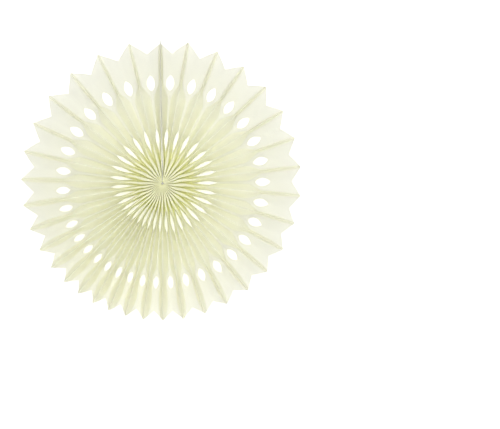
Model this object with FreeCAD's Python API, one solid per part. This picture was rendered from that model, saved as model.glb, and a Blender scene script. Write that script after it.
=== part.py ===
"""Paper fan rosette: a die-cut tissue strip, pleated, opened into a full disc and hung by a thread.

Millimetres. +Z is up, +X is to the viewer's right and +Y runs away from the viewer.
The origin is the hanging point, the middle of the knot at the top of the thread.
Inside this file a place is given from the hub: x to the right, z up, and depth,
which is measured forward from the back plane of the rosette.
"""
import FreeCAD, Part
import math
import os
from FreeCAD import Vector

# Pleated tissue
FAN_RADIUS = 200.0        # hub to the tips, taken round the whole rim
PLEATS = 34               # front ridges, the one at the seam among them
FOLD_WIDTH = 27.0         # from one fold of the strip to the next
SHEET = 0.3               # thickness given to the tissue
HUB_BORE = 4.0            # open radius at the inner ends of the folds
PRESSED_RADIUS = 20.0     # the folds are pressed thinner inside this radius
NOTCH_DEPTH = 15.5        # tips to notches, measured along a radius
VALLEY_RISE = 0.25        # slope of the sheet where it lies nearly flat beside a valley
FLAT_LOSS = 0.55          # ridge height lost for each millimetre that lies flat

# The cut holes: an outer row of almonds and an inner row of slits, all on the valleys
HOLE_INSET = 57.0         # rim to the middle of an almond
HOLE_LENGTH = 20.5
HOLE_SHARE = 0.376        # width of an almond against the pitch there
SLIT_PLACE = 57.0         # hub to the middle of a slit
SLIT_LENGTH = 28.0
SLIT_SHARE = 0.5          # width of a slit against the pitch there
EDGE_CUT = 6.5            # depth of the half holes in the end strips
CUT_SIDES = 4             # straight sides along each of the two arcs of a hole

# Share of half a pleat that stands up as the ridge, from the hub to the rim
HUB_CREST = 0.6
PRESSED_CREST = 0.7
INNER_CREST = 0.84
MIDDLE_CREST = 0.88
SHOULDER_CREST = 0.62
HOLE_CREST = 0.225
LAND_CREST = 0.255
TIP_CREST = 0.05
HOLE_PINCH = 2.46         # how fast wide pleats lose their crest beside the almonds
LAND_PINCH = 3.38         # the same between the almonds and the notches
MIDDLE_GAP = 14.0         # almonds to the place where the crest starts to narrow

# The way it hangs: pleats gather towards 7 o'clock and the rim drops a little
GATHER = 0.239
GATHER_TOWARDS = 203.0
REGATHER = 0.087
REGATHER_TOWARDS = 211.8
NOTCH_LIFT = 0.0133       # notches stand further out at the top by this share
TIP_LIFT = 0.0297         # tips stand further out at the top by this share
LIFT_TOWARDS = 330.0

# Seam at 12 o'clock: two card strips, tape between them, the thread in the gap
CARD = 0.4
CARD_START = 22.0
CARD_INSET = 0.6          # card edge behind the fold of the tissue
BACK_INSET = 1.0          # end strips in front of the back plane
SEAM_GAP = 0.8
HUB_SEAM_GAP = 0.2
TAPE_BACK = 3.0
TAPE_WIDTH = 8.0
INNER_TAPE_PLACE = 100.0
INNER_TAPE_LENGTH = 50.0
OUTER_TAPE_PLACE = 168.0
OUTER_TAPE_LENGTH = 20.0
OUTER_TAPE_WIDTH = 5.0

# Thread, knots and the loop that ties the inner ends
THREAD = 0.6
THREAD_CLEARANCE = 0.15
THREAD_TOP_DEPTH = 8.0
THREAD_ABOVE_TIP = 5.0
ENTRY_HEIGHT = 23.0       # hub to where the thread goes into the gap
HUB_KNOT = 3.6
END_KNOT = 1.6
KNOT_LENGTH = 1.25        # length of a knot against its width
TIE_RADIUS = 8.0
TIE_EYE = 0.9             # hole punched for the tie in each fold
TIE_SIDES = 17
KNOT_SIDES = 8
KNOT_OUTLINE = [(-1, 0.55), (-0.5, 0.85), (0, 1), (0.5, 0.85), (1, 0.55)]  # height, width

PITCH = 360.0 / PLEATS
HOLE_PLACE = FAN_RADIUS - HOLE_INSET
NOTCH_RADIUS = FAN_RADIUS - NOTCH_DEPTH


def cosine(degrees):
    return math.cos(math.radians(degrees))


def sine(degrees):
    return math.sin(math.radians(degrees))


def pitch(pleat):
    """Angle that one pleat takes up, counted clockwise from the seam."""
    turn = PITCH * pleat
    first = GATHER * cosine(turn - GATHER_TOWARDS)
    second = REGATHER * cosine(2 * (turn - REGATHER_TOWARDS))
    return PITCH * (1 - first - second)


def valley_angle(valley):
    return sum(pitch(pleat) for pleat in range(valley + 1)) - pitch(0) / 2


def lift(angle, share):
    return 1 + share * cosine(angle - LIFT_TOWARDS)


def along(angle, radius):
    """Point of the front view at an angle clockwise from 12 o'clock: x, z."""
    return Vector(radius * sine(angle), 0, radius * cosine(angle))


def on_valley(valley, radius):
    angle = valley_angle(valley)
    return along(angle, radius * lift(angle, NOTCH_LIFT))


def tip_radius(angle):
    return FAN_RADIUS * lift(angle, TIP_LIFT)


HANG_HEIGHT = tip_radius(0) + THREAD_ABOVE_TIP


def place(point, depth):
    """Turns a point of the front view and its depth into the part's own frame."""
    return Vector(point.x, THREAD_TOP_DEPTH - depth, point.z - HANG_HEIGHT)


def thickness(radius):
    return SHEET * min(1.0, radius / PRESSED_RADIUS)


def stations(spread):
    """Radii of the sections of a pleat, each with the share of it that is crest."""
    hole_start = HOLE_PLACE - HOLE_LENGTH / 2
    land = (HOLE_PLACE + HOLE_LENGTH / 2 + NOTCH_RADIUS) / 2
    past_tip = FAN_RADIUS * (1 + TIP_LIFT) * 1.02
    return [
        (HUB_BORE, HUB_CREST),
        (PRESSED_RADIUS, PRESSED_CREST),
        (SLIT_PLACE + SLIT_LENGTH / 2, INNER_CREST),
        (hole_start - MIDDLE_GAP, MIDDLE_CREST),
        (hole_start, SHOULDER_CREST),
        (HOLE_PLACE, HOLE_CREST * math.exp(HOLE_PINCH * (1 - spread))),
        (land, LAND_CREST * math.exp(LAND_PINCH * (1 - spread))),
        (past_tip, TIP_CREST),
    ]


def fold_profile(half, crest, sheet):
    """Front and back lines of the sheet across half a pleat, from ridge to valley.

    Each is a list of (distance from the ridge, depth).
    """
    flat = half * (1 - crest)
    kink = half - flat
    kink_depth = VALLEY_RISE * flat
    ridge_depth = FOLD_WIDTH ** 2 / math.hypot(FOLD_WIDTH, half) - FLAT_LOSS * flat
    steep = (ridge_depth - kink_depth) / kink
    flat_drop = sheet * math.hypot(1, VALLEY_RISE)
    steep_drop = sheet * math.hypot(1, steep)
    back_kink = kink - (steep_drop - flat_drop) / (steep - VALLEY_RISE)
    back_kink_depth = VALLEY_RISE * (half - back_kink) - flat_drop
    front = [(0, ridge_depth), (kink, kink_depth), (half, 0)]
    back = [(0, ridge_depth - steep_drop), (back_kink, back_kink_depth), (half, -flat_drop)]
    return front, back


def closed_wire(points):
    return Part.makePolygon(points + points[:1])


def crease_facets(low, high, next_low, next_high):
    """Two flat facets between sections, with a crease from the valley side to the ridge side."""
    if low.y < high.y:
        low, high, next_low, next_high = high, low, next_high, next_low
    corners = [(low, high, next_high), (low, next_high, next_low)]
    return [Part.Face(closed_wire(list(corner))) for corner in corners]


def folded_sheet(sections):
    """Solid sheet over its cross-sections; like paper it bends only along straight lines."""
    faces = [Part.Face(closed_wire(sections[0])), Part.Face(closed_wire(sections[-1]))]
    for near, far in zip(sections, sections[1:]):
        for here in range(len(near)):
            after = (here + 1) % len(near)
            faces += crease_facets(near[here], near[after], far[here], far[after])
    shell = Part.makeShell(faces)
    shell.sewShape()
    solid = Part.makeSolid(shell)
    if solid.Volume < 0:
        solid.reverse()
    return solid


def pleat_section(pleat, radius, crest):
    """Cross-section of the sheet in one pleat, from valley over the ridge to valley."""
    left = on_valley(pleat - 1, radius)
    right = on_valley(pleat, radius)
    middle = (left + right) / 2
    half = (right - left).Length / 2
    across = (right - left) / (2 * half)
    front, back = fold_profile(half, crest, thickness(radius))
    row = [(-x, depth) for x, depth in reversed(front)] + front[1:]
    row += [(x, depth) for x, depth in reversed(back)] + [(-x, depth) for x, depth in back[1:]]
    return [place(middle + across * x, depth) for x, depth in row]


def seam_half_gap(radius):
    """Half the gap between the two end strips of tissue, wider where the card is."""
    full = SEAM_GAP / 2 + CARD
    share = min(1.0, (radius - HUB_BORE) / (PRESSED_RADIUS - HUB_BORE))
    return HUB_SEAM_GAP / 2 + (full - HUB_SEAM_GAP / 2) * share


def seam_section(side, radius, crest):
    """Cross-section of the half pleat beside the seam, with the end strip behind its ridge."""
    valley = 0 if side > 0 else PLEATS - 1
    edge = on_valley(valley, radius)
    gap = seam_half_gap(radius)
    sheet = thickness(radius)
    half = abs(edge.x) - gap
    front, back = fold_profile(half, crest, sheet)
    steep = (front[0][1] - front[1][1]) / front[1][0]
    inner_corner = (sheet, back[0][1] - steep * sheet)
    strip = [(0, BACK_INSET), (sheet, BACK_INSET)]
    row = list(reversed(front)) + strip + [inner_corner] + back[1:]
    return [place(Vector(side * (gap + x), 0, edge.z), depth) for x, depth in row]


def front_prism(points):
    """Column that cuts right through from front to back, from its outline in the front view."""
    outline = closed_wire([place(point, 2 * FOLD_WIDTH) for point in points])
    return Part.Face(outline).extrude(Vector(0, 3 * FOLD_WIDTH, 0))


def almond(length, width):
    """Pointed oval of two arcs, along Z about the origin, in the XZ plane."""
    radius = (length ** 2 + width ** 2) / (4 * width)
    sweep = math.asin(length / 2 / radius)
    turns = [sweep * (1 - 2 * step / CUT_SIDES) for step in range(CUT_SIDES)]
    right = [Vector(width / 2 - radius * (1 - math.cos(turn)), 0, radius * math.sin(turn)) for turn in turns]
    left = [point * -1 for point in right]
    return Part.Face(closed_wire(right + left))


def valley_cut(valley, radius, length, share):
    """Cutter for the hole on one valley; it closes up with the pleats beside it."""
    local = (pitch(valley) + pitch((valley + 1) % PLEATS)) / 2
    width = share * radius * math.radians(local)
    face = almond(length * math.sqrt(local / PITCH), width)
    face.rotate(Vector(0, 0, 0), Vector(0, 1, 0), valley_angle(valley))
    face.translate(place(on_valley(valley, radius), 2 * FOLD_WIDTH))
    return face.extrude(Vector(0, 3 * FOLD_WIDTH, 0))


def rim_cut(left, tip, right):
    """Cutter that leaves a point at the tip and a notch at each side."""
    beyond_left = left + (left - tip) * 0.2
    beyond_right = right + (right - tip) * 0.2
    return front_prism([tip, beyond_right, beyond_right * 1.3, beyond_left * 1.3, beyond_left])


def holes_of(valley):
    return [
        valley_cut(valley, HOLE_PLACE, HOLE_LENGTH, HOLE_SHARE),
        valley_cut(valley, SLIT_PLACE, SLIT_LENGTH, SLIT_SHARE),
    ]


def make_pleat(pleat, holes):
    spread = pitch(pleat) / PITCH
    sections = [pleat_section(pleat, radius, crest) for radius, crest in stations(spread)]
    angle = (valley_angle(pleat - 1) + valley_angle(pleat)) / 2
    rim = rim_cut(on_valley(pleat - 1, NOTCH_RADIUS), along(angle, tip_radius(angle)),
                  on_valley(pleat, NOTCH_RADIUS))
    solid = folded_sheet(sections)
    return solid.cut(holes[pleat - 1] + holes[pleat] + [rim])


def seam_ridge():
    """Places along the seam, as (height over the hub, depth of its ridge)."""
    spread = pitch(0) / PITCH
    places = []
    for radius, crest in stations(spread):
        edge = on_valley(0, radius)
        front, _ = fold_profile(edge.x - seam_half_gap(radius), crest, thickness(radius))
        places.append((edge.z, front[0][1]))
    return places


def ridge_depth_at(height):
    """Depth of the seam's ridge at a height over the hub."""
    places = seam_ridge()
    for (low, low_depth), (high, high_depth) in zip(places, places[1:]):
        if height <= high:
            break
    return low_depth + (high_depth - low_depth) * (height - low) / (high - low)


def side_prism(points, start, width):
    """Plate parallel to the seam, from its outline in the side view: (height, depth)."""
    outline = [place(Vector(start, 0, height), depth) for height, depth in points]
    return Part.Face(closed_wire(outline)).extrude(Vector(width, 0, 0))


def end_strip_cuts():
    """Half holes and the slanting end of the strips that meet at the seam."""
    reach = 2 * FOLD_WIDTH
    cuts = []
    for middle, length in ((HOLE_PLACE, HOLE_LENGTH), (SLIT_PLACE, SLIT_LENGTH)):
        face = almond(length, 2 * (EDGE_CUT + BACK_INSET))
        face.rotate(Vector(0, 0, 0), Vector(0, 0, 1), 90)
        face.translate(place(Vector(-reach / 2, 0, middle), 0))
        cuts.append(face.extrude(Vector(reach, 0, 0)))
    tip = tip_radius(0)
    tip_depth = ridge_depth_at(tip)
    slope = (tip - NOTCH_RADIUS) / tip_depth
    low = (NOTCH_RADIUS - slope * reach, -reach)
    high = (tip + slope * reach, tip_depth + reach)
    cuts.append(side_prism([low, high, (high[0] + reach, -reach)], -reach / 2, reach))
    return cuts


def make_seam_half(side, holes, strip_cuts):
    """Half a pleat beside the seam, whose end strip is cut like the card under it."""
    spread = pitch(0) / PITCH
    sections = [seam_section(side, radius, crest) for radius, crest in stations(spread)]
    valley = 0 if side > 0 else PLEATS - 1
    notch = on_valley(valley, NOTCH_RADIUS)
    tip = along(0, tip_radius(0))
    mirrored = Vector(-notch.x, 0, notch.z)
    solid = folded_sheet(sections)
    strip_zone = side_prism([(0, -FOLD_WIDTH), (2 * FAN_RADIUS, -FOLD_WIDTH),
                             (2 * FAN_RADIUS, 2 * FOLD_WIDTH), (0, 2 * FOLD_WIDTH)],
                            0, side * (SEAM_GAP / 2 + CARD + SHEET))
    strip_only = [cutter.common(strip_zone) for cutter in strip_cuts]
    return solid.cut(holes[valley] + strip_only + [rim_cut(mirrored, tip, notch)])


def tie_ring(width):
    """Ring of square section where the tie runs through the folds."""
    outlines = []
    for radius in (TIE_RADIUS + width / 2, TIE_RADIUS - width / 2):
        corners = [along(360 * side / TIE_SIDES, radius) for side in range(TIE_SIDES)]
        outlines.append(Part.Face(closed_wire([place(corner, FOLD_WIDTH / 2 + width / 2) for corner in corners])))
    return outlines[0].cut(outlines[1]).extrude(Vector(0, width, 0))


def make_pleated_tissue():
    holes = [holes_of(valley) for valley in range(PLEATS)]
    strip_cuts = end_strip_cuts()
    pieces = [make_pleat(pleat, holes) for pleat in range(1, PLEATS)]
    pieces += [make_seam_half(side, holes, strip_cuts) for side in (1, -1)]
    sheet = pieces[0].fuse(pieces[1:])
    return sheet.cut(tie_ring(TIE_EYE))


def make_end_card(side):
    """Card strip glued under the end strip of tissue, its edge just behind the fold."""
    start = side * SEAM_GAP / 2
    heights = [CARD_START] + [height for height, _ in seam_ridge() if height > CARD_START]
    front = [(height, ridge_depth_at(height) - CARD_INSET) for height in heights]
    back = [(heights[-1], BACK_INSET), (CARD_START, BACK_INSET)]
    card = side_prism(front + back, start, side * CARD)
    return card.cut(end_strip_cuts())


def make_tape(middle, length, width):
    """Tape that holds the two cards together, behind the thread."""
    low = middle - length / 2
    high = middle + length / 2
    front = TAPE_BACK + width
    outline = [(low, TAPE_BACK), (high, TAPE_BACK), (high, front), (low, front)]
    return side_prism(outline, -SEAM_GAP / 2, SEAM_GAP)


def make_knot(middle, width):
    """Small knot about the thread's line: a waist where the strands cross, narrower ends."""
    half = width * KNOT_LENGTH / 2
    rings = []
    for height, share in KNOT_OUTLINE:
        ring = []
        for side in range(KNOT_SIDES):
            turn = 360 * side / KNOT_SIDES
            ring.append(middle + Vector(cosine(turn), sine(turn), 0) * (width / 2 * share) + Vector(0, 0, half * height))
        rings.append(ring)
    return folded_sheet(rings)


def thread_route():
    """Points of the hanging thread, from the knot at the hub to the knot at the top."""
    front = ridge_depth_at(ENTRY_HEIGHT) + THREAD / 2 + THREAD_CLEARANCE
    front = max(front, ridge_depth_at(HUB_BORE) + THREAD / 2 + THREAD_CLEARANCE)
    start = place(Vector(0, 0, HUB_KNOT * KNOT_LENGTH / 2), front)
    entry = place(Vector(0, 0, ENTRY_HEIGHT), front)
    end = Vector(0, 0, -END_KNOT * KNOT_LENGTH / 2)
    return [start, entry, end]


def make_thread(route):
    """Round thread on straight runs joined by a tangent arc at each inner point."""
    edges = []
    start = route[0]
    for before, corner, after in zip(route, route[1:], route[2:]):
        into = (corner - before).normalize()
        out = (after - corner).normalize()
        turn = into.getAngle(out)
        reach = 0.45 * min((corner - before).Length, (after - corner).Length)
        radius = reach / math.tan(turn / 2)
        print("thread radius at a bend, mm:", round(radius, 1))
        first = corner - into * reach
        last = corner + out * reach
        bisector = (out - into).normalize()
        inside = corner + bisector * (radius / math.cos(turn / 2) - radius)
        edges.append(Part.LineSegment(start, first).toShape())
        edges.append(Part.Arc(first, inside, last).toShape())
        start = last
    edges.append(Part.LineSegment(start, route[-1]).toShape())
    path = Part.Wire(edges)
    circle = Part.Wire(Part.makeCircle(THREAD / 2, route[0], (route[1] - route[0])))
    tube = path.makePipeShell([circle], True, False)
    expected = math.pi * (THREAD / 2) ** 2 * path.Length
    print("thread length, mm:", round(path.Length, 1), "volume share:", round(tube.Volume / expected, 4))
    return tube


def build():
    """Every piece of the rosette by its name."""
    route = thread_route()
    hub_knot_place = Vector(route[0].x, route[0].y, place(Vector(0, 0, 0), 0).z)
    return {
        "pleated_tissue": make_pleated_tissue(),
        "end_card_left": make_end_card(-1),
        "end_card_right": make_end_card(1),
        "seam_tape_inner": make_tape(INNER_TAPE_PLACE, INNER_TAPE_LENGTH, TAPE_WIDTH),
        "seam_tape_outer": make_tape(OUTER_TAPE_PLACE, OUTER_TAPE_LENGTH, OUTER_TAPE_WIDTH),
        "tie_loop": tie_ring(THREAD),
        "hub_knot": make_knot(hub_knot_place, HUB_KNOT),
        "hanging_thread": make_thread(route),
        "thread_end_knot": make_knot(Vector(0, 0, 0), END_KNOT),
    }


os.makedirs("parts", exist_ok=True)
for name, shape in build().items():
    shape.exportStep(f"parts/{name}.step")
    print(name, "solids", len(shape.Solids), "faces", len(shape.Faces), "volume", round(shape.Volume, 1))
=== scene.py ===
"""Paper fan rosette: one long strip of tissue paper, die-cut, pleated and opened into a disc.

Metres. +Z is up, +X is to the viewer's right and +Y runs away from the viewer.
The origin is the middle of the knot at the top of the hanging thread.
In this file a place is often given from the hub: x to the right, z up, and depth,
which is measured forward from the back plane of the rosette.
"""
import math

import bmesh
import bpy
from mathutils import Matrix, Vector, noise


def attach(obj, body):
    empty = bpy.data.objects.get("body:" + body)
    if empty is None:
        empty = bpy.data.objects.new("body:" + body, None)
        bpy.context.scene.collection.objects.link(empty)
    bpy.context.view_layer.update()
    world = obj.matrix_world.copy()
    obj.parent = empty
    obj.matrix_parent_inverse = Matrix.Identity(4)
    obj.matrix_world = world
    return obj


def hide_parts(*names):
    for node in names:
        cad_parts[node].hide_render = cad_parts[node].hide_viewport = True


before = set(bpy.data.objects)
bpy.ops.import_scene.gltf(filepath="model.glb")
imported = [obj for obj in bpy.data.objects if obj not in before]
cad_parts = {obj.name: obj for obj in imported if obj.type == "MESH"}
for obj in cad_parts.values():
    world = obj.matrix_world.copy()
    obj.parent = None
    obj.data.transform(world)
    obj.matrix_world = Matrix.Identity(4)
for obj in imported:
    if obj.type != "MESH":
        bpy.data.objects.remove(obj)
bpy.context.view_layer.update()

MM = 0.001

# Pleated tissue
FAN_RADIUS = 200 * MM     # hub to the tips, taken round the whole rim
PLEATS = 34               # front ridges, the one at the seam among them
FOLD_WIDTH = 27 * MM      # from one fold of the strip to the next
SHEET = 0.3 * MM          # thickness given to the tissue
HUB_BORE = 1.6 * MM       # open radius at the inner ends of the folds
PRESSED_RADIUS = 20 * MM  # the sheet is thinner inside this radius
NOTCH_DEPTH = 15.5 * MM   # tips to notches, measured along a radius
VALLEY_RISE = 0.25        # slope of the sheet where it lies nearly flat beside a valley
FLAT_LOSS = 0.55          # ridge height lost, as a share of the width that lies flat

# Ridge tops, plump at the hub and sharp further out
CREASE = 0.12 * MM        # half width of a sharp fold's rounding
HUB_CAP = 0.85            # share of half a pleat that is rounded over at the hub
CAP_START = 10 * MM       # hub to where the tops begin to sharpen
CAP_END = 60 * MM         # hub to where they are sharp
CAP_RISE = 0.5            # height of a rounded top as a share of its half width
CAP_LIMIT = 0.9           # share of a ridge's side that its top may take up

# Bend at a ridge's foot, where its steep side meets the gentle slope
BEND_BEFORE = 0.92        # where it starts, as a share of the way from the ridge to its corner
BEND_AFTER = 0.25         # how far it runs past the corner, as a share of the gentle slope
BEND_LONGEST = 1 * MM     # and at most

# Unevenness of handled paper
WAVE_SEED = 7             # set, so that each run makes the same waves
WAVE = 0.35 * MM          # largest shift by the small waves
WAVE_IN_DEPTH = 0.6       # share of it in depth
WAVE_SCALE = 55
WAVE_START = 30 * MM      # hub to where the waves begin
WAVE_GROWTH = 60 * MM     # from there to where they are full
WANDER = 3 * MM           # sideways bend of the folds on their way to the hub
WANDER_SCALE = 45
WANDER_SLICE = 0.37       # the noise is read at one depth, so that front and back bend alike
WANDER_PLACE = 24 * MM    # hub to where the bend is strongest
WANDER_REACH = 16 * MM    # how far it spreads from there
WANDER_CLEAR = 9 * MM     # none at the stiff seam, and full this far beside it
SET_BACK = 3 * MM         # every other ridge lies this much lower where the folds crowd
SET_BACK_REACH = 16 * MM

# Rows of cut holes, all on the valleys
HOLE_INSET = 57 * MM      # rim to the middle of an almond
HOLE_LENGTH = 20.5 * MM
HOLE_SHARE = 0.376        # width of an almond against the pitch there
SLIT_PLACE = 58 * MM      # hub to the middle of a slit
SLIT_LENGTH = 34 * MM
SLIT_SHARE = 0.41         # width of a slit against the pitch there
SLIT_TAPER = 0.6          # slits are wider towards the rim by this share
SLIT_DRIFT = 0.3          # and lie further out on wide pleats
EDGE_CUT = 6.5 * MM       # depth of the half holes in the end strips

# Share of half a pleat that stands up as the ridge, from the hub to the rim
HUB_CREST = 0.95
PRESSED_CREST = 0.88
INNER_CREST = 0.81
MIDDLE_CREST = 0.82
SHOULDER_CREST = 0.47
HOLE_CREST = 0.225
LAND_CREST = 0.255
TIP_CREST = 0.05
HOLE_PINCH = 2.46         # how fast wide pleats lose their crest beside the almonds
LAND_PINCH = 3.38         # the same between the almonds and the notches
MIDDLE_GAP = 12 * MM      # almonds to the place where the crest starts to narrow
PAST_TIPS = 1.02          # the last share belongs a little past the furthest tip

# The way it hangs: pleats gather towards 7 o'clock, and the rim lies further out at 11 o'clock
GATHER = 0.239
GATHER_TOWARDS = 203
REGATHER = 0.087
REGATHER_TOWARDS = 211.8
NOTCH_LIFT = 0.0133       # notches lie further out there by this share
TIP_LIFT = 0.0297         # tips lie further out there by this share
LIFT_TOWARDS = 330
HANG_TURN = -1.3          # the paper hangs this much askew behind its plumb thread
SEAM_STRAIGHTENS = 1.25   # apart from the pleats left of the seam, which its card holds straight
SEAM_HOLD = 26            # degrees that this hold reaches round the fan

# Seam at 12 o'clock
CARD = 0.4 * MM           # thickness of each end card
BACK_INSET = 1 * MM       # end strips in front of the back plane
SEAM_GAP = 0.8 * MM
HUB_HALF_GAP = 0.04 * MM  # half the gap at the very hub
SEAM_SHORT = 6 * MM       # the tip at the seam is cut this much shorter than the others

# Thread and knots
THREAD = 0.6 * MM
THREAD_TOP_DEPTH = 8 * MM
THREAD_ABOVE_TIP = 5 * MM
THREAD_FRONT = -19.4 * MM     # y of the thread where it lies on the folds
THREAD_START = -207.89 * MM   # z of its lower end, at the knot on the hub
THREAD_ENTRY = -187.14 * MM   # z of the place where it turns into the seam
THREAD_END = -1 * MM          # z of its upper end, in the top knot
HUB_KNOT = 3.6 * MM
HUB_STRAND = 1.5 * THREAD     # the knot at the hub is made of a thicker strand
END_KNOT = 1.6 * MM
KNOT_DEPTH = 1.2              # how far a knot's strands pass before and behind, in loop widths
KNOT_POINTS = 36

PITCH = 360 / PLEATS
HALVES = 2 * PLEATS
HOLE_PLACE = FAN_RADIUS - HOLE_INSET
NOTCH_RADIUS = FAN_RADIUS - NOTCH_DEPTH

# Rows of the strip, counted from the hub
BORE_ROWS = 8
HUB_ROWS = 6
SLIT_ROWS = 8
MIDDLE_ROWS = 11
HOLE_ROWS = 10
LAND_ROWS = 11
SLIT_START_ROW = BORE_ROWS + HUB_ROWS
SLIT_END_ROW = SLIT_START_ROW + SLIT_ROWS
HOLE_START_ROW = SLIT_END_ROW + MIDDLE_ROWS
HOLE_END_ROW = HOLE_START_ROW + HOLE_ROWS
ROWS = HOLE_END_ROW + LAND_ROWS
OVAL_EVEN = 0.35          # share of even spacing among the rows of a hole

# Columns of the strip: nine across each half pleat, and three on each end strip
FOLD_COLUMNS = 9
STRIP_COLUMNS = 3
COLUMNS = HALVES * FOLD_COLUMNS + 2 * STRIP_COLUMNS
CAP_COLUMN = 0.75         # place of the column on a rounded top, as a share of its half width
SLOPE_ROOM = 1.05         # a hole's edge nearer the ridge than this many bend ends squeezes the columns

# Share of the ridge tops' painted shade and of the sides' painted light, column by column from the
# ridge outwards
RIDGE_TOP_SHADE = (1, 1, 0.6, 0)
FLANK_PAINTED_LIGHT = (1, 1, 1, 1, 1, 0.5, 0)

SMOOTH_BELOW = 38         # degrees between faces that are shaded as one

# Tissue: radii where one painted tone starts to turn into another and where it has
NEAR_HUB = (82 * MM, 14 * MM)
ROUND_HUB = (62 * MM, 35 * MM)
SIDE_AT_RIM = (130 * MM, 150 * MM)
MARGIN_AT_RIM = (135 * MM, 160 * MM)
TOPS_BEGIN = (5 * MM, 10 * MM)

# Tissue: colours, the pale and the dark one of a cloudy pair together. Most are painted light and
# shade: sides lighter than margins, tones that shift towards the rim and the hub, darker ridge tops
# near the hub and darker cut edges.
MARGIN_COLOURS = ((0.88, 0.88, 0.835), (0.905, 0.905, 0.86))
# painted light: margins lighter towards the rim
MARGIN_RIM_PAINTED_LIGHT = (0.915, 0.915, 0.865)
# painted light: margins lighter and yellower near the hub, as from light bounced between the crowded
# folds
MARGIN_HUB_PAINTED_LIGHT = (0.96, 0.962, 0.82)
# painted light: the steep sides are painted lighter than the margins
SIDE_PAINTED_LIGHT_COLOURS = ((0.955, 0.955, 0.885), (0.972, 0.972, 0.902))
# painted shade: sides darker towards the rim
SIDE_RIM_PAINTED_SHADE = (0.955, 0.953, 0.87)
# painted light: sides lighter and yellower near the hub, as from bounced light
SIDE_HUB_PAINTED_LIGHT = (0.99, 0.99, 0.835)
# painted shade: ridge tops near the hub darker and more olive
TOP_PAINTED_SHADE = (0.9, 0.898, 0.69)
# painted shadow along the cut edges of the holes and slits
CUT_PAINTED_SHADOW = (0.84, 0.835, 0.74)
CUT_SHADOW_STARTS = 0.65         # share of the way to a cut edge where its painted shadow begins
CUT_SHADOW_STRENGTH = 0.7
LIGHT_THROUGH = 0.52      # share of the light that the tissue lets through
HUB_LIGHT_THROUGH = 0.35

# Other colours
THREAD_COLOURS = ((0.48, 0.475, 0.455), (0.6, 0.595, 0.575))
CARD_COLOUR = (0.97, 0.965, 0.9)
TAPE_COLOUR = (0.75, 0.74, 0.68)
SPECK_SHADE = 0.85        # brightness of the specks in card and tape
WALL_COLOUR = (0.9, 0.9, 0.9)
FLOOR_COLOUR = (0.85, 0.85, 0.84)

# Camera
PICTURE_WIDTH = 500
PICTURE_HEIGHT = 429
HUB_PIXEL = (163, 183.5)
PIXEL = 1.422 * MM
CAMERA_ROLL = 1.15
CAMERA_DISTANCE = 2.6
SENSOR = 36
NEAR_CLIP = 0.05
FAR_CLIP = 50

# Studio
WALL_SIZE = 6
WALL_GAP = 9 * MM
FLOOR_SIZE = 8
FLOOR_DROP = 400 * MM
FRONT_LAMP = (0.04, -2.4, -0.15)
FRONT_SIZE = 0.8
FRONT_POWER = 25.6
KEY_LAMP = (0.45, -2.1, 1.8)
KEY_SIZE = 1.1
KEY_POWER = 19.3
SKY_LIGHT = 0.54
BOUNCES = 32
DIFFUSE_BOUNCES = 24


def cosine(degrees):
    return math.cos(math.radians(degrees))


def sine(degrees):
    return math.sin(math.radians(degrees))


def mix(first, second, share):
    return first + (second - first) * share


def pitch(pleat):
    """Angle that one pleat takes up, counted clockwise from the seam."""
    turn = PITCH * pleat
    first = GATHER * cosine(turn - GATHER_TOWARDS)
    second = REGATHER * cosine(2 * (turn - REGATHER_TOWARDS))
    return PITCH * (1 - first - second)


def valley_angle(valley):
    return sum(pitch(pleat) for pleat in range(valley + 1)) - pitch(0) / 2


def lift(angle, share):
    return 1 + share * cosine(angle - LIFT_TOWARDS)


def along(angle, radius):
    """Point of the front view at an angle clockwise from 12 o'clock."""
    return Vector((radius * sine(angle), 0, radius * cosine(angle)))


def tip_radius(angle):
    return FAN_RADIUS * lift(angle, TIP_LIFT)


HANG_HEIGHT = tip_radius(0) + THREAD_ABOVE_TIP


def place(point, depth):
    """Turns a point of the front view and its depth into the part's own frame."""
    return Vector((point.x, THREAD_TOP_DEPTH - depth, point.z - HANG_HEIGHT))


def nothing_selected():
    """Leaves edit mode with every object deselected."""
    if bpy.context.object and bpy.context.object.mode != "OBJECT":
        bpy.ops.object.mode_set(mode="OBJECT")
    bpy.ops.object.select_all(action="DESELECT")


def only_selected(piece):
    nothing_selected()
    piece.select_set(True)
    bpy.context.view_layer.objects.active = piece


# Camera

def make_camera():
    """Camera square to the fan, a little turned, with the hub at its place in the picture."""
    right = Vector((cosine(CAMERA_ROLL), 0, -sine(CAMERA_ROLL)))
    up = Vector((sine(CAMERA_ROLL), 0, cosine(CAMERA_ROLL)))
    across = (HUB_PIXEL[0] - PICTURE_WIDTH / 2) * PIXEL
    above = (PICTURE_HEIGHT / 2 - HUB_PIXEL[1]) * PIXEL
    hub = place(Vector((0, 0, 0)), FOLD_WIDTH / 2)
    aim = hub - right * across - up * above
    bpy.ops.object.camera_add(location=aim - Vector((0, CAMERA_DISTANCE, 0)))
    camera = bpy.context.object
    camera.name = "camera"
    camera.rotation_euler = Matrix((right, up, right.cross(up))).transposed().to_euler()
    camera.data.sensor_width = SENSOR
    camera.data.lens = SENSOR * CAMERA_DISTANCE / (PICTURE_WIDTH * PIXEL)
    camera.data.clip_start = NEAR_CLIP
    camera.data.clip_end = FAR_CLIP
    bpy.context.scene.camera = camera


# Thread and knots

def strand_curve(name, route, thickness, bevel):
    """Round strand along a route of points: its object, its curve and its spline."""
    curve = bpy.data.curves.new(name + "_line", "CURVE")
    curve.dimensions = "3D"
    curve.bevel_depth = thickness / 2
    curve.bevel_resolution = bevel
    spline = curve.splines.new("NURBS")
    spline.points.add(len(route) - 1)
    for point, spot in zip(spline.points, route):
        point.co = (*spot, 1)
    spline.order_u = 3
    strand = bpy.data.objects.new(name + "_line", curve)
    bpy.context.collection.objects.link(strand)
    return strand, curve, spline


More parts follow.
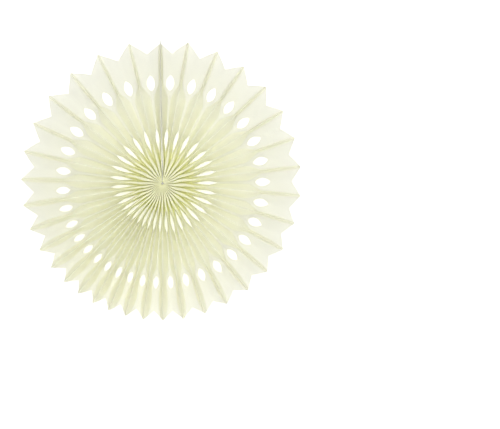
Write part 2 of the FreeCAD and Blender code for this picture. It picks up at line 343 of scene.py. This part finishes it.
def make_thread():
    """Hanging thread from the knot at the hub, up through the seam, to its top knot."""
    route = [
        (0, THREAD_FRONT, THREAD_START),
        (0, THREAD_FRONT, THREAD_ENTRY),
        (0, 0, THREAD_END),
    ]
    thread, curve, spline = strand_curve("hanging_thread", route, THREAD, bevel=3)
    thread.name = "thread"
    spline.use_endpoint_u = True
    curve.resolution_u = 24
    return thread


def make_knot(name, middle, width, strand):
    """Small overhand knot, drawn tight: the thread crosses itself three times."""
    loop = (width - strand) / 6
    route = []
    for step in range(KNOT_POINTS):
        turn = 360 * step / KNOT_POINTS
        out = loop * (2 + cosine(3 * turn))
        deep = -KNOT_DEPTH * loop * sine(3 * turn)
        route.append(middle + Vector((out * cosine(2 * turn), deep, out * sine(2 * turn))))
    line, curve, spline = strand_curve(name, route, strand, bevel=2)
    spline.use_cyclic_u = True
    spline.resolution_u = 3
    only_selected(line)
    bpy.ops.object.convert(target="MESH")
    knot = bpy.context.object
    knot.name = name
    bpy.ops.object.mode_set(mode="EDIT")
    bpy.ops.mesh.select_all(action="SELECT")
    bpy.ops.mesh.normals_make_consistent(inside=False)
    bpy.ops.object.mode_set(mode="OBJECT")
    bpy.ops.object.shade_smooth()
    return knot


# Shape across a fold

def smooth_line(places, at):
    """Value at a place on a smooth line through (place, value) pairs, with no overshoot."""
    slopes = [(v - u) / (q - p) for (p, u), (q, v) in zip(places, places[1:])]
    at = min(max(at, places[0][0]), places[-1][0])
    step = 0
    while step < len(slopes) - 1 and at > places[step + 1][0]:
        step += 1

    def tangent(knot):
        if knot == 0 or knot == len(slopes):
            return slopes[min(knot, len(slopes) - 1)]
        before, after = slopes[knot - 1], slopes[knot]
        return 0 if before * after <= 0 else 2 * before * after / (before + after)

    (start, low), (end, high) = places[step], places[step + 1]
    span = end - start
    t = (at - start) / span
    rise = tangent(step) * span
    run = tangent(step + 1) * span
    curve = (2 * t ** 3 - 3 * t ** 2 + 1) * low + (3 * t ** 2 - 2 * t ** 3) * high
    return curve + (t ** 3 - 2 * t ** 2 + t) * rise + (t ** 3 - t ** 2) * run


def crest_shares(spread):
    """Radii along a pleat, each with the share of it that is crest."""
    hole_start = HOLE_PLACE - HOLE_LENGTH / 2
    land = (HOLE_PLACE + HOLE_LENGTH / 2 + NOTCH_RADIUS) / 2
    return [
        (HUB_BORE, HUB_CREST),
        (PRESSED_RADIUS, PRESSED_CREST),
        (SLIT_PLACE + SLIT_LENGTH / 2, INNER_CREST),
        (hole_start - MIDDLE_GAP, MIDDLE_CREST),
        (hole_start, SHOULDER_CREST),
        (HOLE_PLACE, HOLE_CREST * math.exp(HOLE_PINCH * (1 - spread))),
        (land, LAND_CREST * math.exp(LAND_PINCH * (1 - spread))),
        (FAN_RADIUS * (1 + TIP_LIFT) * PAST_TIPS, TIP_CREST),
    ]


def ridge_cap(radius, half):
    """Half width of the rounded top of a ridge, plump at the hub and sharp further out."""
    share = min(1, max(0, (radius - CAP_START) / (CAP_END - CAP_START)))
    share = share * share * (3 - 2 * share)
    return mix(HUB_CAP * half, CREASE, share)


def bend_of(half, crest):
    """Distances from the ridge where the bend at a ridge's foot starts, turns and ends."""
    flat = half * (1 - crest)
    kink = half - flat
    return BEND_BEFORE * kink, kink, kink + min(BEND_AFTER * flat, BEND_LONGEST)


def bend_share(x, start, kink, end):
    """How far along the bend's curve a distance from the ridge is."""
    stretch = end - 2 * kink + start
    if abs(stretch) < 1e-9:
        return (x - start) / (end - start)
    return (start - kink + math.sqrt((kink - start) ** 2 + stretch * (x - start))) / stretch


def fold_depth(x, half, crest, cap):
    """Depth of the sheet at a distance from the ridge: rounded top, steep side, bend, gentle slope."""
    start, kink, end = bend_of(half, crest)
    kink_depth = VALLEY_RISE * (half - kink)
    ridge_depth = FOLD_WIDTH ** 2 / math.hypot(FOLD_WIDTH, half) - FLAT_LOSS * (half - kink)
    cap = min(cap, CAP_LIMIT * start)
    shoulder = ridge_depth - CAP_RISE * cap
    if x < cap:
        return shoulder + CAP_RISE * math.sqrt(cap ** 2 - x ** 2)
    steep = (shoulder - kink_depth) / (kink - cap)
    if x <= start:
        return shoulder - steep * (x - cap)
    if x >= end:
        return VALLEY_RISE * (half - x)
    t = bend_share(x, start, kink, end)
    first = shoulder - steep * (start - cap)
    last = VALLEY_RISE * (half - end)
    return (1 - t) ** 2 * first + 2 * t * (1 - t) * kink_depth + t ** 2 * last


def column_places(half, crest, cap, edge):
    """Distances from the ridge of the strip's columns, closest where the sheet bends."""
    start, kink, end = bend_of(half, crest)
    cap = min(cap, CAP_LIMIT * start)
    room = edge if edge > SLOPE_ROOM * end else half
    places = [0, CAP_COLUMN * cap, cap, (cap + start) / 2, start, kink, end]
    places += [mix(end, room, 1 / 3), mix(end, room, 2 / 3), room]
    if room > edge:
        places = [spot * edge / half for spot in places]
    return places


# Holes, and the rows that follow them

def arc_width(length, width, distance):
    """Half width of a pointed oval of two arcs at a distance from its middle."""
    if abs(distance) >= length / 2:
        return 0
    radius = (length ** 2 + width ** 2) / (4 * width)
    return max(0, width / 2 - radius + math.sqrt(radius ** 2 - distance ** 2))


def hole_length(local):
    """Length of an almond, greater where the pleats are wide."""
    return HOLE_LENGTH * math.sqrt(local / PITCH)


def slit_middle(local):
    return SLIT_PLACE * (1 + SLIT_DRIFT * (local / PITCH - 1))


def spaced(start, end, count):
    """Places from start up to end, end left out."""
    return [mix(start, end, step / count) for step in range(count)]


def oval_spaced(start, end, count):
    """Places from start up to end, closer together at both ends, for the rows of a hole."""
    places = []
    for step in range(count):
        eased = (1 - math.cos(math.pi * step / count)) / 2
        places.append(mix(start, end, OVAL_EVEN * step / count + (1 - OVAL_EVEN) * eased))
    return places


def rows_of(local, end):
    """Radii of the strip's rows along a fold whose pleats take up a local pitch."""
    middle = slit_middle(local)
    slit = SLIT_LENGTH / 2
    hole = hole_length(local) / 2
    rows = spaced(HUB_BORE, PRESSED_RADIUS, BORE_ROWS)
    rows += spaced(PRESSED_RADIUS, middle - slit, HUB_ROWS)
    rows += oval_spaced(middle - slit, middle + slit, SLIT_ROWS)
    rows += spaced(middle + slit, HOLE_PLACE - hole, MIDDLE_ROWS)
    rows += oval_spaced(HOLE_PLACE - hole, HOLE_PLACE + hole, HOLE_ROWS)
    rows += spaced(HOLE_PLACE + hole, end, LAND_ROWS)
    return rows + [end]


class Fold:
    """One valley of the strip: where it lies and how wide its holes open."""

    def __init__(self, valley):
        angle = valley_angle(valley)
        from_seam = (360 - angle) / SEAM_HOLD
        held = SEAM_STRAIGHTENS * math.exp(-from_seam * from_seam)
        self.angle = angle + HANG_TURN * (1 - held)
        self.local = (pitch(valley) + pitch((valley + 1) % PLEATS)) / 2
        self.rows = rows_of(self.local, NOTCH_RADIUS)

    def at(self, radius):
        return along(self.angle, radius * lift(self.angle, NOTCH_LIFT))

    def opening(self, radius):
        """Half width of the hole that is cut on this valley at a radius."""
        turn = math.radians(self.local)
        hole = arc_width(hole_length(self.local), HOLE_SHARE * HOLE_PLACE * turn, radius - HOLE_PLACE)
        middle = slit_middle(self.local)
        share = SLIT_SHARE * math.sqrt(PITCH / self.local)
        slit = arc_width(SLIT_LENGTH, share * middle * turn, radius - middle)
        return hole + slit * (1 + SLIT_TAPER * (radius - middle) / (SLIT_LENGTH / 2))


def seam_half_gap(radius):
    """Half the gap between the two ends of the strip, wider where the card is."""
    share = min(1, radius / PRESSED_RADIUS)
    return mix(HUB_HALF_GAP, SEAM_GAP / 2 + CARD, share)


class HalfPleat:
    """One panel of the strip, from a ridge to a valley."""

    def __init__(self, pleat, valley, folds):
        self.fold = folds[valley]
        self.side = 1 if valley == pleat else -1
        self.other = folds[pleat - 1 if self.side > 0 else pleat % PLEATS]
        self.at_seam = pleat == 0
        self.set_back = SET_BACK / FOLD_WIDTH if pleat % 2 else 0
        self.crests = crest_shares(pitch(pleat) / PITCH)
        self.half_turn = pitch(pleat) / 2
        if self.at_seam:
            reach = tip_radius(0) - SEAM_SHORT
            reach /= lift(self.fold.angle, NOTCH_LIFT) * cosine(self.fold.angle)
        else:
            middle = (self.fold.angle + self.other.angle) / 2
            reach = tip_radius(middle)
            reach /= lift(middle, NOTCH_LIFT) * cosine(self.half_turn)
        self.ridge_rows = rows_of(pitch(pleat), reach)

    def span(self, radius):
        """Ridge foot, direction across and half width of the pleat at a radius."""
        valley = self.fold.at(radius)
        if self.at_seam:
            gap = self.side * seam_half_gap(radius)
            return Vector((gap, 0, valley.z)), Vector((self.side, 0, 0)), abs(valley.x - gap)
        ridge = (valley + self.other.at(radius)) / 2
        return ridge, (valley - ridge).normalized(), (valley - ridge).length

    def section(self, radius, half):
        """Crest share and rounded top of the pleat at a radius."""
        return smooth_line(self.crests, radius), ridge_cap(radius, half)

    def point(self, column, row):
        """Place of one corner of the strip's grid, column 0 on the ridge."""
        cut = self.fold.opening(self.fold.rows[row]) / cosine(self.half_turn)
        radius = (self.ridge_rows[row] + self.fold.rows[row]) / 2
        half = self.span(radius)[2]
        places = column_places(half, *self.section(radius, half), half - cut)
        share = places[column] / places[-1]
        radius = mix(self.ridge_rows[row], self.fold.rows[row], share)
        ridge, across, half = self.span(radius)
        x = share * (half - cut)
        depth = fold_depth(x, half, *self.section(radius, half))
        depth *= 1 - self.set_back * math.exp(-(radius / SET_BACK_REACH) ** 2)
        return place(ridge + across * x, depth), radius

    def strip_point(self, column, row):
        """Place on the end strip that runs back from the seam's ridge, column 0 on the ridge."""
        share = column / STRIP_COLUMNS
        valley_row = self.fold.rows[row]
        radius = mix(self.ridge_rows[row], valley_row, share)
        ridge, across, half = self.span(radius)
        front = fold_depth(0, half, smooth_line(self.crests, radius), CREASE)
        cut_width = 2 * (EDGE_CUT + BACK_INSET)
        cut = arc_width(HOLE_LENGTH, cut_width, valley_row - HOLE_PLACE)
        cut += arc_width(SLIT_LENGTH, cut_width, valley_row - SLIT_PLACE)
        return place(ridge, mix(front, max(BACK_INSET, cut), share)), radius


# The strip: flat, cut, folded, handled and given its thickness

def grid_place(spot):
    """Column and row of a corner of the flat strip."""
    return round((spot.x + 1) / 2 * COLUMNS), round((spot.y + 1) / 2 * ROWS)


def flat_strip():
    """The long flat strip of tissue as a grid, one cell for each column and row."""
    nothing_selected()
    bpy.ops.mesh.primitive_grid_add(x_subdivisions=COLUMNS, y_subdivisions=ROWS, size=2)
    strip = bpy.context.object
    strip.name = "tissue"
    return strip


def slit_valleys(strip):
    """Cuts the strip along its valley folds where the holes open."""
    bpy.ops.object.mode_set(mode="EDIT")
    bpy.ops.mesh.select_mode(type="EDGE")
    bpy.ops.mesh.select_all(action="DESELECT")
    bm = bmesh.from_edit_mesh(strip.data)
    for edge in bm.edges:
        (column, row), (other_column, other_row) = [grid_place(vert.co) for vert in edge.verts]
        on_valley = (column - STRIP_COLUMNS) % (2 * FOLD_COLUMNS) == FOLD_COLUMNS
        if column != other_column or not on_valley:
            continue
        low = min(row, other_row)
        in_slit = SLIT_START_ROW <= low < SLIT_END_ROW
        in_hole = HOLE_START_ROW <= low < HOLE_END_ROW
        edge.select_set(in_slit or in_hole)
    bmesh.update_edit_mesh(strip.data)
    bpy.ops.mesh.edge_split(type="EDGE")
    bpy.ops.object.mode_set(mode="OBJECT")


def folded_corner(vert, panels):
    """Place, radius, and shares of ridge-top painted shade and of side painted light of one corner of
    the flat strip.
    """
    column, row = grid_place(vert.co)
    column -= STRIP_COLUMNS
    past_end = column - HALVES * FOLD_COLUMNS
    if column < 0:
        return *panels[0].strip_point(-column, row), 0, 1
    if past_end > 0:
        return *panels[-1].strip_point(past_end, row), 0, 1
    half = min(column // FOLD_COLUMNS, HALVES - 1)
    middle = sum(face.calc_center_median().x for face in vert.link_faces) / len(vert.link_faces)
    on_fold = column % FOLD_COLUMNS == 0 and column > 0 and past_end < 0
    if on_fold and middle <= vert.co.x:
        half -= 1
    step = column - half * FOLD_COLUMNS
    from_ridge = step if half % 2 == 0 else FOLD_COLUMNS - step
    ridge_shade = RIDGE_TOP_SHADE[min(from_ridge, len(RIDGE_TOP_SHADE) - 1)]
    flank_light = FLANK_PAINTED_LIGHT[min(from_ridge, len(FLANK_PAINTED_LIGHT) - 1)]
    return *panels[half].point(from_ridge, row), ridge_shade, flank_light


def fold_strip(strip):
    """Folds the strip into its pleats and opens it round the hub."""
    folds = [Fold(valley) for valley in range(PLEATS)]
    panels = [HalfPleat((half + 1) // 2 % PLEATS, half // 2, folds) for half in range(HALVES)]
    bm = bmesh.new()
    bm.from_mesh(strip.data)
    # masks for the painted shadow at cut edges, the painted shade on ridge tops and the painted light
    # on the sides
    cut_shadow_layer = bm.verts.layers.float.new("cut_edge_shadow")
    ridge_shade_layer = bm.verts.layers.float.new("ridge_top_shade")
    flank_light_layer = bm.verts.layers.float.new("flank_painted_light")
    radius_layer = bm.verts.layers.float.new("radius")
    moves = []
    for vert in bm.verts:
        spot, radius, ridge_shade, flank_light = folded_corner(vert, panels)
        moves.append((vert, spot))
        vert[ridge_shade_layer] = ridge_shade
        vert[flank_light_layer] = flank_light
        vert[radius_layer] = radius
        vert[cut_shadow_layer] = 1 if len(vert.link_edges) > len(vert.link_faces) else 0
    for vert, spot in moves:
        vert.co = spot
    bm.to_mesh(strip.data)
    bm.free()


def soft_waves(strip):
    """Slight unevenness of handled paper, and folds that wander on their way to the hub."""
    noise.seed_set(WAVE_SEED)
    for vert in strip.data.vertices:
        from_hub = math.hypot(vert.co.x, vert.co.z + HANG_HEIGHT)
        strength = WAVE * min(1, max(0, (from_hub - WAVE_START) / WAVE_GROWTH))
        wave = noise.noise_vector(vert.co * WAVE_SCALE)
        vert.co += Vector((wave.x, wave.y * WAVE_IN_DEPTH, wave.z)) * strength
        away = (from_hub - WANDER_PLACE) / WANDER_REACH
        bend = noise.noise_vector(Vector((vert.co.x, WANDER_SLICE, vert.co.z)) * WANDER_SCALE)
        clear = 1 if vert.co.z < -HANG_HEIGHT else min(1, abs(vert.co.x) / WANDER_CLEAR)
        vert.co += Vector((bend.x, 0, bend.z)) * (WANDER * clear * math.exp(-away * away))


def face_forward(strip):
    """Turns the faces of the folded sheet to the viewer's side."""
    only_selected(strip)
    bpy.ops.object.mode_set(mode="EDIT")
    bpy.ops.mesh.select_all(action="SELECT")
    bpy.ops.mesh.normals_make_consistent(inside=False)
    bpy.ops.object.mode_set(mode="OBJECT")
    facing = sum(polygon.normal.y * polygon.area for polygon in strip.data.polygons)
    if facing > 0:
        bpy.ops.object.mode_set(mode="EDIT")
        bpy.ops.mesh.flip_normals()
        bpy.ops.object.mode_set(mode="OBJECT")


def thicken(strip):
    """Gives the sheet its thickness, thinner where the folds are pressed at the hub."""
    radii = [item.value for item in strip.data.attributes["radius"].data]
    group = strip.vertex_groups.new(name="thickness")
    for index, radius in enumerate(radii):
        group.add([index], min(1, radius / PRESSED_RADIUS), "REPLACE")
    face_forward(strip)
    bpy.ops.object.modifier_add(type="SOLIDIFY")
    solid = strip.modifiers[-1]
    solid.thickness = SHEET
    solid.offset = -1
    solid.vertex_group = group.name
    bpy.ops.object.modifier_apply(modifier=solid.name)
    bpy.ops.object.shade_smooth_by_angle(angle=math.radians(SMOOTH_BELOW))


def make_tissue():
    strip = flat_strip()
    slit_valleys(strip)
    fold_strip(strip)
    soft_waves(strip)
    thicken(strip)
    return strip


# Materials

class Finish:
    """A material, with the kinds of node that the finishes here are made of."""

    def __init__(self, name):
        self.material = bpy.data.materials.new(name)
        self.material.use_nodes = True
        self.nodes = self.material.node_tree.nodes
        self.links = self.material.node_tree.links
        self.surface = self.nodes["Principled BSDF"]

    def attribute(self, name):
        reader = self.nodes.new("ShaderNodeAttribute")
        reader.attribute_name = name
        return reader.outputs["Fac"]

    def texture(self, kind, **values):
        """Value of a procedural texture that is fixed to the piece."""
        coordinates = self.nodes.new("ShaderNodeTexCoord")
        pattern = self.nodes.new(kind)
        for name, value in values.items():
            pattern.inputs[name].default_value = value
        self.links.new(coordinates.outputs["Object"], pattern.inputs["Vector"])
        return pattern.outputs["Fac"]

    def grain(self, scale, detail=2, distortion=0):
        return self.texture("ShaderNodeTexNoise", Scale=scale, Detail=detail, Distortion=distortion)

    def span(self, value, ends, results=(0, 1), kind="LINEAR"):
        """Turns a value between two ends into a value between two results."""
        scale = self.nodes.new("ShaderNodeMapRange")
        scale.interpolation_type = kind
        scale.inputs["From Min"].default_value = ends[0]
        scale.inputs["From Max"].default_value = ends[1]
        scale.inputs["To Min"].default_value = results[0]
        scale.inputs["To Max"].default_value = results[1]
        self.links.new(value, scale.inputs["Value"])
        return scale.outputs["Result"]

    def product(self, first, second):
        times = self.nodes.new("ShaderNodeMath")
        times.operation = "MULTIPLY"
        self.links.new(first, times.inputs[0])
        self.links.new(second, times.inputs[1])
        return times.outputs["Value"]

    def layered(self, under, over, share):
        """One colour laid over another by a share."""
        layer = self.nodes.new("ShaderNodeMix")
        layer.data_type = "RGBA"
        for colour, socket in ((under, layer.inputs["A"]), (over, layer.inputs["B"])):
            if isinstance(colour, tuple):
                socket.default_value = (*colour, 1)
            else:
                self.links.new(colour, socket)
        self.links.new(share, layer.inputs["Factor"])
        return layer.outputs["Result"]

    def relief(self, height, strength, distance, under=None):
        """Normal of a small relief, laid over another one if there is one under it."""
        bump = self.nodes.new("ShaderNodeBump")
        bump.inputs["Strength"].default_value = strength
        bump.inputs["Distance"].default_value = distance
        self.links.new(height, bump.inputs["Height"])
        if under:
            self.links.new(under, bump.inputs["Normal"])
        return bump.outputs["Normal"]

    def coat(self, colour, normal, roughness):
        """Colour, relief and roughness of the main shader."""
        self.links.new(colour, self.surface.inputs["Base Color"])
        self.links.new(normal, self.surface.inputs["Normal"])
        self.surface.inputs["Roughness"].default_value = roughness

    def blended(self, first, second, share):
        """Two shaders mixed by a share."""
        blend = self.nodes.new("ShaderNodeMixShader")
        self.links.new(share, blend.inputs["Fac"])
        self.links.new(first, blend.inputs[1])
        self.links.new(second, blend.inputs[2])
        self.links.new(blend.outputs["Shader"], self.nodes["Material Output"].inputs["Surface"])


def tissue_colour_and_painted_light(finish, near):
    """Cream, with painted light and shade: steep sides lighter than the margins beside the valleys,
    tones that shift towards the rim and the hub, darker and greener ridge tops near the hub, and darker
    cut edges.
    """
    radius = finish.attribute("radius")

    def zone(ends):
        return finish.span(radius, ends, kind="SMOOTHSTEP")

    clouds = finish.grain(scale=90, detail=5)
    margin = finish.layered(*MARGIN_COLOURS, clouds)
    # painted light: margins lighter towards the rim
    margin = finish.layered(margin, MARGIN_RIM_PAINTED_LIGHT, zone(MARGIN_AT_RIM))
    # painted light: margins lighter and yellower near the hub
    margin = finish.layered(margin, MARGIN_HUB_PAINTED_LIGHT, zone(ROUND_HUB))
    side = finish.layered(*SIDE_PAINTED_LIGHT_COLOURS, clouds)
    # painted shade: sides darker towards the rim
    side = finish.layered(side, SIDE_RIM_PAINTED_SHADE, zone(SIDE_AT_RIM))
    # painted light: sides lighter and yellower near the hub
    side = finish.layered(side, SIDE_HUB_PAINTED_LIGHT, near)
    # painted shade: darker, more olive ridge tops near the hub
    top = finish.product(finish.attribute("ridge_top_shade"), zone(TOPS_BEGIN))
    side = finish.layered(side, TOP_PAINTED_SHADE, finish.product(top, near))
    # the flank mask lays the sides' painted light over the margins
    colour = finish.layered(margin, side, finish.attribute("flank_painted_light"))
    # painted shadow along the cut edges
    cut_shadow = finish.span(finish.attribute("cut_edge_shadow"), (CUT_SHADOW_STARTS, 1), (0, CUT_SHADOW_STRENGTH))
    return finish.layered(colour, CUT_PAINTED_SHADOW, cut_shadow)


def tissue_material():
    """Thin cream tissue that lets light through, less where its folds crowd."""
    finish = Finish("cream_tissue")
    near = finish.span(finish.attribute("radius"), NEAR_HUB, kind="SMOOTHSTEP")
    colour = tissue_colour_and_painted_light(finish, near)
    broad = finish.grain(scale=160, detail=7, distortion=0.6)
    rumple = finish.relief(broad, strength=0.35, distance=1 * MM)
    fibres = finish.grain(scale=1200, detail=6)
    crinkle = finish.relief(fibres, strength=0.25, distance=0.3 * MM, under=rumple)
    finish.coat(colour, crinkle, roughness=0.8)
    finish.surface.inputs["Specular IOR Level"].default_value = 0.2
    glow = finish.nodes.new("ShaderNodeBsdfTranslucent")
    finish.links.new(colour, glow.inputs["Color"])
    finish.links.new(crinkle, glow.inputs["Normal"])
    through = finish.span(near, (0, 1), (LIGHT_THROUGH, HUB_LIGHT_THROUGH))
    finish.blended(finish.surface.outputs["BSDF"], glow.outputs["BSDF"], through)
    return finish.material


def plain_material(name, pale, roughness):
    """Card or tape: small specks and the grain of pulp."""
    finish = Finish(name)
    dark = tuple(SPECK_SHADE * part for part in pale)
    colour = finish.layered(dark, pale, finish.grain(scale=900))
    pulp = finish.relief(finish.grain(scale=2200, detail=6), strength=0.3, distance=0.2 * MM)
    finish.coat(colour, pulp, roughness)
    return finish.material


def thread_material():
    """Grey cotton thread: strands that twist round it, and a little fluff."""
    finish = Finish("grey_thread")
    strands = finish.texture("ShaderNodeTexWave", Scale=420, Distortion=1.5)
    strands.node.bands_direction = "DIAGONAL"
    colour = finish.layered(*THREAD_COLOURS, finish.grain(scale=2500))
    twist = finish.relief(strands, strength=0.6, distance=0.1 * MM)
    finish.coat(colour, twist, roughness=0.9)
    finish.surface.inputs["Sheen Weight"].default_value = 0.2
    return finish.material


def dress(piece, material):
    piece.data.materials.clear()
    piece.data.materials.append(material)


def dress_node(name, material):
    """Gives a CAD piece whose shape is right its own finish."""
    for slot in bpy.data.objects[name].material_slots:
        slot.material = material


# Studio

def studio_material(name, colour, backlit, lit):
    """Pale surface, clear from behind, that shines for the camera and a little for the fan."""
    finish = Finish(name)
    nodes, links, surface = finish.nodes, finish.links, finish.surface
    surface.inputs["Base Color"].default_value = (*colour, 1)
    surface.inputs["Roughness"].default_value = 0.9
    surface.inputs["Specular IOR Level"].default_value = 0
    seen = nodes.new("ShaderNodeLightPath").outputs["Is Camera Ray"]
    glow = nodes.new("ShaderNodeEmission")
    links.new(finish.span(seen, (0, 1), (lit, backlit + lit)), glow.inputs["Strength"])
    both = nodes.new("ShaderNodeAddShader")
    links.new(surface.outputs["BSDF"], both.inputs[0])
    links.new(glow.outputs["Emission"], both.inputs[1])
    clear = nodes.new("ShaderNodeBsdfTransparent")
    behind = nodes.new("ShaderNodeNewGeometry").outputs["Backfacing"]
    finish.blended(both.outputs["Shader"], clear.outputs["BSDF"], behind)
    return finish.material


def make_backdrop():
    """White wall close behind the fan, and a pale floor well below it."""
    wall_place = (0, THREAD_TOP_DEPTH + WALL_GAP, 0)
    floor_place = (0, 0, -HANG_HEIGHT - FAN_RADIUS - FLOOR_DROP)
    nothing_selected()
    bpy.ops.mesh.primitive_plane_add(size=WALL_SIZE, location=wall_place, rotation=(math.pi / 2, 0, 0))
    wall = bpy.context.object
    wall.name = "studio_wall"
    dress(wall, studio_material("studio_white", WALL_COLOUR, backlit=0.2, lit=0.1))
    bpy.ops.mesh.primitive_plane_add(size=FLOOR_SIZE, location=floor_place)
    floor = bpy.context.object
    floor.name = "studio_floor"
    dress(floor, studio_material("studio_floor_white", FLOOR_COLOUR, backlit=0.1, lit=0))


def make_lamp(name, spot, size, power):
    """Soft square lamp that looks at the middle of the fan."""
    to_fan = Vector((0, 0, -HANG_HEIGHT)) - Vector(spot)
    bpy.ops.object.light_add(type="AREA", location=spot)
    lamp = bpy.context.object
    lamp.name = name
    lamp.data.size = size
    lamp.data.energy = power
    lamp.rotation_euler = to_fan.to_track_quat("-Z", "Y").to_euler()


def make_sky():
    """Even light from all round that the camera sees as white."""
    world = bpy.context.scene.world or bpy.data.worlds.new("studio")
    bpy.context.scene.world = world
    world.use_nodes = True
    nodes = world.node_tree.nodes
    links = world.node_tree.links
    nodes.clear()
    output = nodes.new("ShaderNodeOutputWorld")
    background = nodes.new("ShaderNodeBackground")
    path = nodes.new("ShaderNodeLightPath")
    level = nodes.new("ShaderNodeMapRange")
    level.inputs["To Min"].default_value = SKY_LIGHT
    links.new(path.outputs["Is Camera Ray"], level.inputs["Value"])
    links.new(level.outputs["Result"], background.inputs["Strength"])
    links.new(background.outputs["Background"], output.inputs["Surface"])


def make_studio():
    """Backdrop, soft light from the front and the upper right, and light that bounces far."""
    make_backdrop()
    make_lamp("front", FRONT_LAMP, FRONT_SIZE, FRONT_POWER)
    make_lamp("key", KEY_LAMP, KEY_SIZE, KEY_POWER)
    make_sky()
    bpy.context.scene.view_settings.view_transform = "Standard"
    cycles = bpy.context.scene.cycles
    cycles.max_bounces = BOUNCES
    cycles.diffuse_bounces = DIFFUSE_BOUNCES
    cycles.transmission_bounces = DIFFUSE_BOUNCES


# Making

make_camera()
thread = make_thread()
end_knot = make_knot("top_knot", Vector((0, 0, 0)), END_KNOT, THREAD)
hub_knot = make_knot("centre_knot", Vector((0, THREAD_FRONT, -HANG_HEIGHT)), HUB_KNOT, HUB_STRAND)
tissue = make_tissue()

paper_finish = tissue_material()
thread_finish = thread_material()
card_finish = plain_material("cream_card", CARD_COLOUR, roughness=0.85)
tape_finish = plain_material("tape", TAPE_COLOUR, roughness=0.4)
dress(tissue, paper_finish)
for piece in (thread, end_knot, hub_knot):
    dress(piece, thread_finish)
dress_node("end_card_left", card_finish)
dress_node("end_card_right", card_finish)
dress_node("seam_tape_inner", tape_finish)
dress_node("seam_tape_outer", tape_finish)
dress_node("tie_loop", thread_finish)

for piece in (tissue, thread, end_knot, hub_knot):
    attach(piece, "root")
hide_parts("pleated_tissue")
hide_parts("hanging_thread")
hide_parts("thread_end_knot")
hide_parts("hub_knot")

make_studio()
